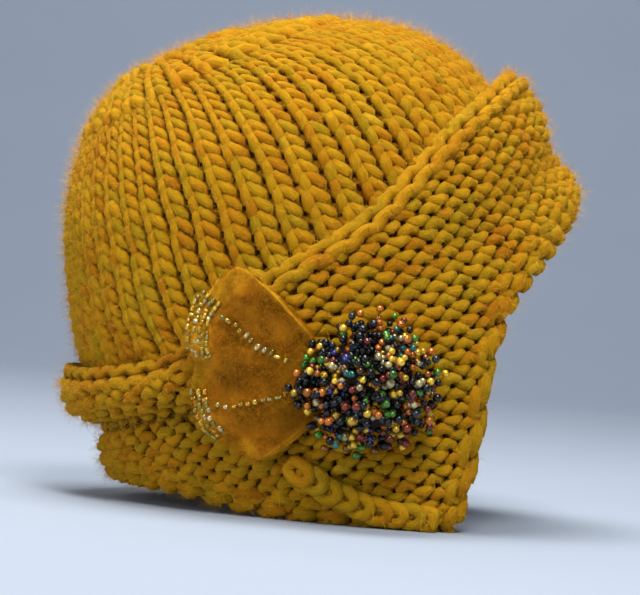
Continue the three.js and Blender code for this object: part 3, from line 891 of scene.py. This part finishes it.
# The cast-off chain: its loops, how far they overlap, swing and rise, in pitches or millimetres
CHAIN_LOOPS = 9
CHAIN_POINTS = 28
CHAIN_SIDES = 8
CHAIN_OVERLAP = 0.82
CHAIN_TAPER = 0.18
CHAIN_ROUND = 0.84
CHAIN_TEARDROP = 0.2
UNEVEN_CHAIN = {"swell": 0.06, "overlap": 0.05, "swing": 0.35}
CHAIN_SWING = 3.6
CHAIN_LIFT = 3.0
CHAIN_RISE = 1.7
# Painted shade on the chain's yarn, in millimetres of extra depth
CHAIN_PAINTED_SHADE = 1.4
CHAIN_YARN = 0.98
CHAIN_HAIRS = 620
CHAIN_HAIR = {"width": 0.06, "spread": 0.8}


class HAT_OT_cast_off(bpy.types.Operator):
    """Link the loops of the cast-off edge in a chain down the lower band"""
    bl_idname = "cloche.cast_off"
    bl_label = "Chain the cast-off edge"

    def execute(self, context):
        thickness, fibre_length = in_millimetres(context.scene.cloche_yarn, "thickness", "fibre_length")
        route, length = smooth_path(np.array(CHAIN_ROUTE) * EAR_DROP, 400)
        pitch = length / CHAIN_LOOPS
        t = np.arange(CHAIN_POINTS) / CHAIN_POINTS * FULL_TURN
        rng = np.random.default_rng(SEEDS["chain"])
        along_route = np.linspace(0, length, len(route))
        tangent = unit(np.gradient(route, axis=0))
        paths, normals, lifts = [], [], []
        for loop in range(CHAIN_LOOPS):
            swell = 1 + CHAIN_TAPER * (1 - loop / CHAIN_LOOPS) + rng.normal(0, UNEVEN_CHAIN["swell"])
            overlap = CHAIN_OVERLAP + rng.normal(0, UNEVEN_CHAIN["overlap"])
            at = np.clip((loop + 0.5) * pitch - pitch * overlap * np.cos(t), 0, length)
            swing = CHAIN_SWING * swell * np.sin(t) * (CHAIN_ROUND - CHAIN_TEARDROP * np.cos(t))
            swing = swing + rng.normal(0, UNEVEN_CHAIN["swing"])
            columns = (*route.T, *tangent.T)
            p, h, ahead_p, ahead_h = (np.interp(at, along_route, column) for column in columns)
            p, h = p - ahead_h * swing, h + ahead_p * swing
            proud = -CHAIN_RISE * np.cos(t)
            lift = brim_out(side_turn(p, h, BRIM_STAND * 0.7), h) + CHAIN_LIFT + proud
            path = side_point(p, h, lift)
            paths.append(path)
            normals.append(unit(side_point(p, h, lift + 1) - path))
            # Painted shade: each loop is coloured darker where it dips under, and the whole chain a little
            # darker
            lifts.append(proud - CHAIN_PAINTED_SHADE)
        thick = np.full((CHAIN_LOOPS, len(t)), thickness / 2 * CHAIN_YARN)
        keep = np.ones(thick.shape, bool)
        parts = [sweep(np.array(paths), np.array(normals), thick, CHAIN_SIDES, keep, np.array(lifts))]
        piece = yarn_object("cast_off_chain", "crown_wool", parts)
        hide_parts("cast_off_edge")
        outward = np.concatenate(normals)
        feet = np.concatenate(paths) + outward * thickness * FIBRE_FOOT
        hairs = fuzz("chain_fuzz", "fibre_wool", CHAIN_HAIRS, feet, outward, fibre_length, **CHAIN_HAIR)
        tie((piece, hairs))
        return {"FINISHED"}


def leaf_under(turn, out, p, h):
    """How far the leaf's underside stands out: over the brim, lower past its edge, rippled where loose."""
    _, upper = brim_levels(side_turn(p, h, BRIM_STAND))
    past = smoothstep(h, upper, upper + LEAF_REACH * 0.2)
    loose = smoothstep(out, RIPPLE_START, 1)
    wave = np.sin(np.radians(turn * 11)) * 0.5 + 0.5
    return BRIM_STAND * (0.82 - 0.3 * past) + LEAF_RIPPLE * loose * wave


def leaf_point(turn, out, lift):
    reach = read_table(LEAF_OUTLINE, "turn", "reach", turn) * LEAF_REACH * out
    angle = np.radians(turn)
    p = LEAF_ROOT[0] + reach * np.cos(angle)
    h = LEAF_ROOT[1] + reach * np.sin(angle)
    return side_point(p, h, leaf_under(turn, out, p, h) + lift)


# The leaf's grid of points, the share of its reach where the felt starts, and its loose hairs
LEAF_TURNS = 150
LEAF_OUTS = 44
LEAF_START = 0.2
LEAF_RAGGED = 0.006
LEAF_MIDDLE = (152.0, 0.6)
LEAF_SIDE_TURN = 9
LEAF_RIM_START = 0.72
LEAF_HAIR_START = 0.24
LEAF_HAIR_RIM = 0.93
LEAF_HAIR_SIDE = 0.9
LEAF_HAIR = {"width": 0.045, "spread": 0.5}


class HAT_OT_leaf(bpy.types.Operator):
    """Shape the felt leaf with its rippled, hairy edge"""
    bl_idname = "cloche.leaf"
    bl_label = "Shape the felt leaf"

    def execute(self, context):
        trim = context.scene.cloche_trim
        rng = np.random.default_rng(SEEDS["leaf"])
        first, last = LEAF_OUTLINE["turn"][0], LEAF_OUTLINE["turn"][-1]
        turns, outs = np.linspace(first, last, LEAF_TURNS), np.linspace(LEAF_START, 1, LEAF_OUTS)
        turn, out = np.meshgrid(turns, outs, indexing="ij")
        notches = turns[::3]
        ragged = np.interp(turns, notches, rng.normal(0, LEAF_RAGGED, len(notches)))[:, None]
        side = 1 - smoothstep(np.minimum(turn - first, last - turn), 0, LEAF_SIDE_TURN)
        rim_share = np.maximum(smoothstep(out, LEAF_RIM_START, 1), side)
        relief = 0.7 * np.sin(np.radians(turn * 13 + 60 * out)) * smoothstep(out, 0.25, 0.7)
        relief += 0.35 * np.sin(np.radians(turn * 7 - 130 * out)) + 0.9 * rim_share**2
        relief -= side**4 * LEAF_THICKNESS * 0.35
        out_wavy = out * (1 + ragged * smoothstep(out, 0.7, 1))
        over = leaf_point(turn, out_wavy, LEAF_THICKNESS + relief)
        under = leaf_point(turn, out_wavy, 0.0)
        shape = bmesh.new()
        strand = shape.loops.layers.uv.new("strand")
        places = add_grid(shape, LEAF_TURNS - 1, LEAF_OUTS - 1)
        for face in shape.faces:
            face.smooth = True
            for corner in face.loops:
                i, k = places[corner.vert]
                corner[strand].uv = (turns[i] / 40, rim_share[i, k] * 0.8)
        top = to_part(over)
        for vert, place in places.items():
            vert.co = top[place]
        outward = unit(leaf_point(*LEAF_MIDDLE, 4.0) - leaf_point(*LEAF_MIDDLE, 3.0))
        shape.normal_update()
        if sum(float(np.dot(face.normal, outward)) for face in shape.faces) < 0:
            bmesh.ops.reverse_faces(shape, faces=shape.faces[:])
        rim_verts = {vert for edge in shape.edges if edge.is_boundary for vert in edge.verts}
        bmesh.ops.solidify(shape, geom=shape.faces[:], thickness=LEAF_THICKNESS * MM)
        thick_rim = [edge for edge in shape.edges if any(vert in rim_verts for vert in edge.verts)]
        around = list({vert for edge in thick_rim for vert in edge.verts})
        for _ in range(2):
            bmesh.ops.smooth_vert(
                shape, verts=around, factor=0.4, use_axis_x=True, use_axis_y=True, use_axis_z=True)
        bmesh.ops.recalc_face_normals(shape, faces=shape.faces[:])
        piece = shape_object("felt_leaf_fan", "felted_wool", shape)
        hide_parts("felt_leaf")
        inner = out > LEAF_HAIR_START
        edge = (out > LEAF_HAIR_RIM) | ((side > LEAF_HAIR_SIDE) & inner)
        feet = np.concatenate([over[edge], under[edge], over[inner]])
        facing = unit(leaf_point(turn, out, 4) - leaf_point(turn, out, 3))
        outward = unit(leaf_point(turn, out * 1.02, 2) - leaf_point(turn, out, 2))
        away = unit(np.concatenate([(facing + outward)[edge], outward[edge], facing[inner]]))
        hair_length, = in_millimetres(trim, "hair_length")
        hairs = fuzz("leaf_fuzz", "felt_fibre", trim.hairs, feet, away, hair_length, **LEAF_HAIR)
        reach = read_table(LEAF_OUTLINE, "turn", "reach", turns) * LEAF_REACH * MM
        tie((piece, hairs))
        return {"FINISHED"}


# Colours of the cluster's beads and the share of each
BEAD_COLOURS = (
    ((0.004, 0.005, 0.007), 0.44),
    ((0.012, 0.022, 0.03), 0.1),
    ((0.70, 0.42, 0.03), 0.13),
    ((0.46, 0.13, 0.012), 0.1),
    ((0.06, 0.2, 0.02), 0.07),
    ((0.18, 0.025, 0.015), 0.05),
    ((0.40, 0.34, 0.16), 0.04),
    ((0.02, 0.14, 0.13), 0.03),
    ((0.04, 0.04, 0.2), 0.02),
    ((0.14, 0.06, 0.015), 0.05),
)
BRIGHT_COLOURS = (2, 7)


def beads(name, material, places, axes, sizes, colours, segments, rings, square):
    """Beads as one mesh: places, the thread's direction, (across, along) sizes, colours, squareness."""
    shape = bmesh.new()
    bmesh.ops.create_uvsphere(shape, u_segments=segments, v_segments=rings, radius=1)
    bmesh.ops.triangulate(shape, faces=shape.faces[:])
    bmesh.ops.recalc_face_normals(shape, faces=shape.faces[:])
    ball = np.array([vert.co for vert in shape.verts])
    faces = np.array([[vert.index for vert in face.verts] for face in shape.faces])
    shape.free()
    wide = np.hypot(ball[:, 0], ball[:, 1])
    pole = wide <= 1e-4
    squared = np.where(pole, 0, np.maximum(wide, 1e-4) ** (square - 1))
    tall = np.sign(ball[:, 2]) * np.abs(ball[:, 2]) ** square * np.where(pole, 0.9, 1)
    bead = np.stack([ball[:, 0] * squared, ball[:, 1] * squared, tall], -1)
    axis = unit(axes)
    helper = np.where(np.abs(axis[:, 2:3]) < 0.8, [[0, 0, 1.0]], [[1.0, 0, 0]])
    first = unit(np.cross(helper, axis))
    second = np.cross(axis, first)
    local = bead[None] * np.stack([sizes[:, 0], sizes[:, 0], sizes[:, 1]], -1)[:, None]
    turned = sum(local[..., k : k + 1] * way[:, None] for k, way in enumerate((first, second, axis)))
    points = places[:, None] + turned
    all_faces = (faces[None] + np.arange(len(places))[:, None, None] * len(bead)).reshape(-1, 3)
    colour_and_shade = np.ones((len(all_faces), 3, 4))
    colour_and_shade[..., :3] = np.repeat(colours, len(faces), 0)[:, None]
    return mesh_object(name, material, to_part(points.reshape(-1, 3)), all_faces, None, colour_and_shade)


# Colours of the leaf's beads, and how they lie: spacing in millimetres in one row and in several
LINED_GLASS = (
    (0.60, 0.38, 0.03), (0.66, 0.45, 0.05), (0.30, 0.26, 0.04),
    (0.60, 0.50, 0.22), (0.58, 0.28, 0.02), (0.40, 0.31, 0.06),
)
BEAD_ROW_STEP = 0.041
BEAD_LIFT = 1.3
UNEVEN_BEAD = {"tilt": 0.2, "place": 0.35}
BEAD_HALF_WIDTH = (0.85, 1.15)
BEAD_HALF_LENGTH = (0.95, 1.6)
BEAD_SHADES = (0.6, 1.2)
BEAD_SPACING = {"one": 2.7, "many": 2.3}
BEADS_ACROSS = {"one": 0.5, "many": 0.25}
LEAF_BEAD = {"segments": 10, "rings": 7, "square": 0.55}


class HAT_OT_leaf_beads(bpy.types.Operator):
    """Sew the rows of lined glass beads on the leaf"""
    bl_idname = "cloche.leaf_beads"
    bl_label = "Sew the leaf's beads"

    def execute(self, context):
        rng = np.random.default_rng(SEEDS["leaf_beads"])
        palette = np.array(LINED_GLASS)
        for name, (turns, outs, rows) in BEAD_ROWS.items():
            turns, outs = np.array(turns), np.array(outs)
            kind = "one" if rows == 1 else "many"
            places, axes = [], []
            for row in range(rows):
                shift = (row - (rows - 1) / 2) * BEAD_ROW_STEP
                route = leaf_point(turns, outs - shift, LEAF_THICKNESS + BEAD_LIFT)
                line, _ = smooth_path(route, 200)
                total = np.linalg.norm(np.diff(line, axis=0), axis=1).sum()
                number = max(3, int(total / BEAD_SPACING[kind]))
                even, _ = smooth_path(route, number)
                ahead = np.gradient(even, axis=0)
                across = rng.random(number) < BEADS_ACROSS[kind]
                normal = unit(leaf_point(turns[:1], outs[:1], 6) - leaf_point(turns[:1], outs[:1], 5))
                thread = np.where(across[:, None], np.cross(ahead, normal), ahead)
                axes.append(thread + rng.normal(0, UNEVEN_BEAD["tilt"], (number, 3)))
                places.append(even + rng.normal(0, UNEVEN_BEAD["place"], (number, 3)))
            places, axes = np.concatenate(places), np.concatenate(axes)
            number = len(places)
            sizes = [rng.uniform(*limits, number) for limits in (BEAD_HALF_WIDTH, BEAD_HALF_LENGTH)]
            sizes = np.stack(sizes, -1)
            colours = palette[rng.integers(0, len(palette), number)]
            colours = colours * rng.uniform(*BEAD_SHADES, (number, 1))
            piece = beads(name + "_glass", "lined_glass", places, axes, sizes, colours, **LEAF_BEAD)
            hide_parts(name)
            tie((piece,))
        return {"FINISHED"}


# The cluster's strands: beads on each, how they bend and wander, and the pad under them
BEADS_ON_STRAND = 4
STRAND_START = 0.45
STRAND_BEND = 1.6
STRAND_WANDER = 0.6
STRAND_REACH = (0.78, 1.02)
STRAND_FOOT = 0.35
STRAND_LOWEST = {"tip": 1.2, "bead": 1.0}
UNEVEN_SPIN = 0.12
DOME_HEIGHT = 0.92
GOLDEN_TURN = math.pi * (3 - math.sqrt(5))
SEED_BEAD = {"segments": 8, "rings": 6, "square": 0.85}
SEED_SIZES = {"last": ((1.3, 1.95), 0.95), "other": ((1.25, 1.75), 0.85)}
SEED_SHADES = (0.6, 1.4)
SAME_COLOUR = 0.7
BRIGHT_TIPS = 0.3
PAD = {"width": 0.62, "depth": 0.5}


class HAT_OT_cluster(bpy.types.Operator):
    """Gather short strands of seed beads into a dome"""
    bl_idname = "cloche.cluster"
    bl_label = "Gather the bead cluster"

    def execute(self, context):
        strands = context.scene.cloche_trim.strands
        rng = np.random.default_rng(SEEDS["cluster"])
        seat_out = BRIM_STAND * 0.82 + LEAF_THICKNESS + TRIM_GAP
        seat = side_point(*np.array(CLUSTER_SEAT, float), seat_out)
        ahead = side_point(CLUSTER_SEAT[0] + 1.0, CLUSTER_SEAT[1], seat_out) - seat
        rise = side_point(CLUSTER_SEAT[0], CLUSTER_SEAT[1] + 1.0, seat_out) - seat
        outward = unit(np.cross(ahead, rise))
        across = unit(ahead)
        turned = np.stack([across, np.cross(outward, across), outward])
        radius = CLUSTER_WIDTH / 2
        dome = np.array([radius, radius * DOME_HEIGHT, CLUSTER_DEPTH])
        places, axes, sizes, colours = [], [], [], []
        shades, weights = (np.array(column) for column in zip(*BEAD_COLOURS))
        weights = weights / weights.sum()
        for i in range(strands):
            rise_share = 0.03 + 0.97 * (i + 0.5) / strands
            level = math.sqrt(1 - rise_share**2)
            spin = i * GOLDEN_TURN + rng.normal(0, UNEVEN_SPIN)
            aim = np.array([level * math.cos(spin), level * math.sin(spin), rise_share])
            tip = aim * dome * rng.uniform(*STRAND_REACH)
            tip[2] = max(tip[2], STRAND_LOWEST["tip"])
            foot = tip * STRAND_FOOT
            main = rng.choice(len(shades), p=weights)
            bend = rng.normal(0, STRAND_BEND, 3)
            for k in range(BEADS_ON_STRAND):
                share = STRAND_START + (1 - STRAND_START) * k / (BEADS_ON_STRAND - 1)
                local = foot + (tip - foot) * share + bend * share + rng.normal(0, STRAND_WANDER, 3)
                local[2] = max(local[2], STRAND_LOWEST["bead"])
                places.append(seat + local @ turned)
                axes.append(aim @ turned)
                last = k == BEADS_ON_STRAND - 1
                (least, most), tall = SEED_SIZES["last" if last else "other"]
                size = rng.uniform(least, most)
                sizes.append((size, size * tall))
                shade = main if rng.random() < SAME_COLOUR else rng.choice(len(shades), p=weights)
                if last and rng.random() < BRIGHT_TIPS:
                    shade = rng.integers(*BRIGHT_COLOURS)
                colours.append(shades[shade] * rng.uniform(*SEED_SHADES))
        places, axes, sizes = np.array(places), np.array(axes), np.array(sizes)
        colours = np.clip(np.array(colours), 0, 1)
        piece = beads("bead_cluster_strands", "seed_beads", places, axes, sizes, colours, **SEED_BEAD)
        head = bmesh.new()
        bmesh.ops.create_uvsphere(head, u_segments=32, v_segments=16, radius=1)
        everything = head.verts[:] + head.edges[:] + head.faces[:]
        bmesh.ops.bisect_plane(
            head, geom=everything, plane_co=(0, 0, 0), plane_no=(0, 0, -1), clear_outer=True)
        bmesh.ops.holes_fill(head, edges=[e for e in head.edges if e.is_boundary], sides=40)
        pad_size = np.array([radius * PAD["width"], radius * PAD["width"], CLUSTER_DEPTH * PAD["depth"]])
        for vert in head.verts:
            vert.co = Vector(to_part(seat + (np.array(vert.co) * pad_size) @ turned))
        bmesh.ops.recalc_face_normals(head, faces=head.faces[:])
        pad = shape_object("bead_cluster_pad", "dark_thread", head)
        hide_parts("bead_cluster")
        tie((piece, pad))
        return {"FINISHED"}


class HAT_OT_finishes(bpy.types.Operator):
    """Make the wool, felt and glass finishes"""
    bl_idname = "cloche.finishes"
    bl_label = "Make the finishes"

    def execute(self, context):
        colours = context.scene.cloche_colours
        # One wool in three copies: the brim's is painted 5% darker as shade, the loose fibres' is paler, more
        # even and painted 10% lighter
        wool_material("crown_wool", tuple(colours.wool), 1.0)
        wool_material("brim_wool", tuple(colours.wool), 0.95)
        wool_material("fibre_wool", (0.66, 0.37, 0.03), 1.1, bump_strength=0.0, even=0.6)
        wool_material("felt_fibre", (0.55, 0.24, 0.012), 1.0, bump_strength=0.0)
        felt_material("felted_wool", tuple(colours.felt_rim), tuple(colours.felt_heart))
        bead_material("lined_glass", 0.6)
        bead_material("seed_beads", 0.5)
        plain_material("dark_thread", (0.02, 0.012, 0.008))
        return {"FINISHED"}


# The camera, which frames the hat as the photo does
LENS_DISTANCE = 1.25
MM_PER_PIXEL = 0.44
PICTURE_WIDTH = 640
SENSOR = 36
PICTURE_ROLL = math.radians(4.1)

# The studio in metres: a floor that bends up into a backdrop
FLOOR = {"near": -3.2, "depth": 1.7, "bend": 1.9, "rise": 2.4, "half_width": 4.5, "steps": 28}
PAPER = (0.33, 0.385, 0.475)
AIR = (0.8, 0.86, 0.95, 1)
AIR_STRENGTH = 0.22

# Lamps: place, size, power and colour, and what the lamp lights where that isn't the hat
LAMPS = {
    "key": ((0.2, -1.0, 1.4), 0.5, 24, (1.0, 0.97, 0.92), None),
    "overhead": ((-0.1, 0.05, 1.4), 0.7, 21, (1.0, 0.98, 0.95), None),
    "backdrop": ((0, 1.9, 2.3), 1.6, 26, (0.95, 0.97, 1.0), (0, 3.3, 0.5)),
    "fill": ((-1.3, -1.2, 0.45), 1.0, 9, (1.0, 0.98, 0.96), None),
    "back": ((-0.9, 1.1, 1.2), 0.9, 4, (1.0, 0.97, 0.92), None),
}


def add_floor():
    depth, bend, steps = FLOOR["depth"], FLOOR["bend"], FLOOR["steps"]
    angles = [i / steps * math.pi / 2 for i in range(steps + 1)]
    profile = [(FLOOR["near"], 0)]
    profile += [(depth + bend * math.sin(angle), bend * (1 - math.cos(angle))) for angle in angles]
    profile.append((depth + bend, FLOOR["rise"] + bend))
    shape = bmesh.new()
    verts = [shape.verts.new((-FLOOR["half_width"], y, z)) for y, z in profile]
    edges = [shape.edges.new(pair) for pair in zip(verts, verts[1:])]
    moved = bmesh.ops.extrude_edge_only(shape, edges=edges)["geom"]
    moved = [item for item in moved if isinstance(item, bmesh.types.BMVert)]
    bmesh.ops.translate(shape, verts=moved, vec=(2 * FLOOR["half_width"], 0, 0))
    for face in shape.faces:
        face.smooth = True
    plain_material("pale_paper", PAPER)
    shape_object("studio_floor", "pale_paper", shape)


def add_lamps(scene, middle):
    for name, (place, size, power, colour, target) in LAMPS.items():
        light = bpy.data.lights.new(name, "AREA")
        light.size = size
        light.energy = power
        light.color = colour
        item = bpy.data.objects.new(name, light)
        item.location = place
        aim = Vector(target or middle) - Vector(place)
        item.rotation_euler = aim.to_track_quat("-Z", "Y").to_euler()
        scene.collection.objects.link(item)


def add_camera(scene, middle):
    camera = bpy.data.cameras.new("photo_camera")
    camera.sensor_width = SENSOR
    camera.lens = SENSOR * LENS_DISTANCE / (PICTURE_WIDTH * MM_PER_PIXEL * MM)
    camera.clip_end = 50
    eye = bpy.data.objects.new("photo_camera", camera)
    right = Vector((math.cos(PICTURE_ROLL), 0, math.sin(PICTURE_ROLL)))
    up = Vector((-math.sin(PICTURE_ROLL), 0, math.cos(PICTURE_ROLL)))
    back = Vector((0, -1, 0))
    turn = Matrix((right, up, back)).transposed().to_4x4()
    eye.matrix_world = Matrix.Translation(middle + back * LENS_DISTANCE) @ turn
    scene.collection.objects.link(eye)
    scene.camera = eye


class HAT_OT_stage(bpy.types.Operator):
    """Set the floor, the soft lights and the camera"""
    bl_idname = "cloche.stage"
    bl_label = "Set the stage"

    def execute(self, context):
        scene = context.scene
        middle = Vector([value * MM for value in HAT_MIDDLE])
        add_floor()
        add_lamps(scene, middle)
        add_camera(scene, middle)
        world = bpy.data.worlds.new("studio_air")
        world.use_nodes = True
        air = world.node_tree.nodes["Background"]
        air.inputs["Color"].default_value = AIR
        air.inputs["Strength"].default_value = AIR_STRENGTH
        scene.world = world
        scene.view_settings.view_transform = "Standard"
        return {"FINISHED"}


STEPS = ("stage", "finishes", "crown", "brim", "cast_off", "leaf", "leaf_beads", "cluster")


class HAT_PT_panel(bpy.types.Panel):
    """Lists the hat's steps and sizes"""
    bl_idname = "HAT_PT_panel"
    bl_label = "Cloche hat"
    bl_space_type = "VIEW_3D"
    bl_region_type = "UI"
    bl_category = "Cloche hat"

    def draw(self, context):
        for step in STEPS:
            self.layout.operator("cloche." + step)
        scene = context.scene
        for group in (scene.cloche_yarn, scene.cloche_trim, scene.cloche_colours):
            for name in group.__annotations__:
                self.layout.prop(group, name)


CLASSES = (
    ClocheYarn, ClocheTrim, ClocheColours, HAT_OT_stage, HAT_OT_finishes, HAT_OT_crown, HAT_OT_brim,
    HAT_OT_cast_off, HAT_OT_leaf, HAT_OT_leaf_beads, HAT_OT_cluster, HAT_PT_panel,
)


def register():
    for item in CLASSES:
        bpy.utils.register_class(item)
    bpy.types.Scene.cloche_yarn = bpy.props.PointerProperty(type=ClocheYarn)
    bpy.types.Scene.cloche_trim = bpy.props.PointerProperty(type=ClocheTrim)
    bpy.types.Scene.cloche_colours = bpy.props.PointerProperty(type=ClocheColours)


def unregister():
    del bpy.types.Scene.cloche_colours
    del bpy.types.Scene.cloche_trim
    del bpy.types.Scene.cloche_yarn
    for item in reversed(CLASSES):
        bpy.utils.unregister_class(item)


def main():
    register()
    for step in STEPS:
        getattr(bpy.ops.cloche, step)()
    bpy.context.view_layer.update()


if __name__ == "__main__":
    main()
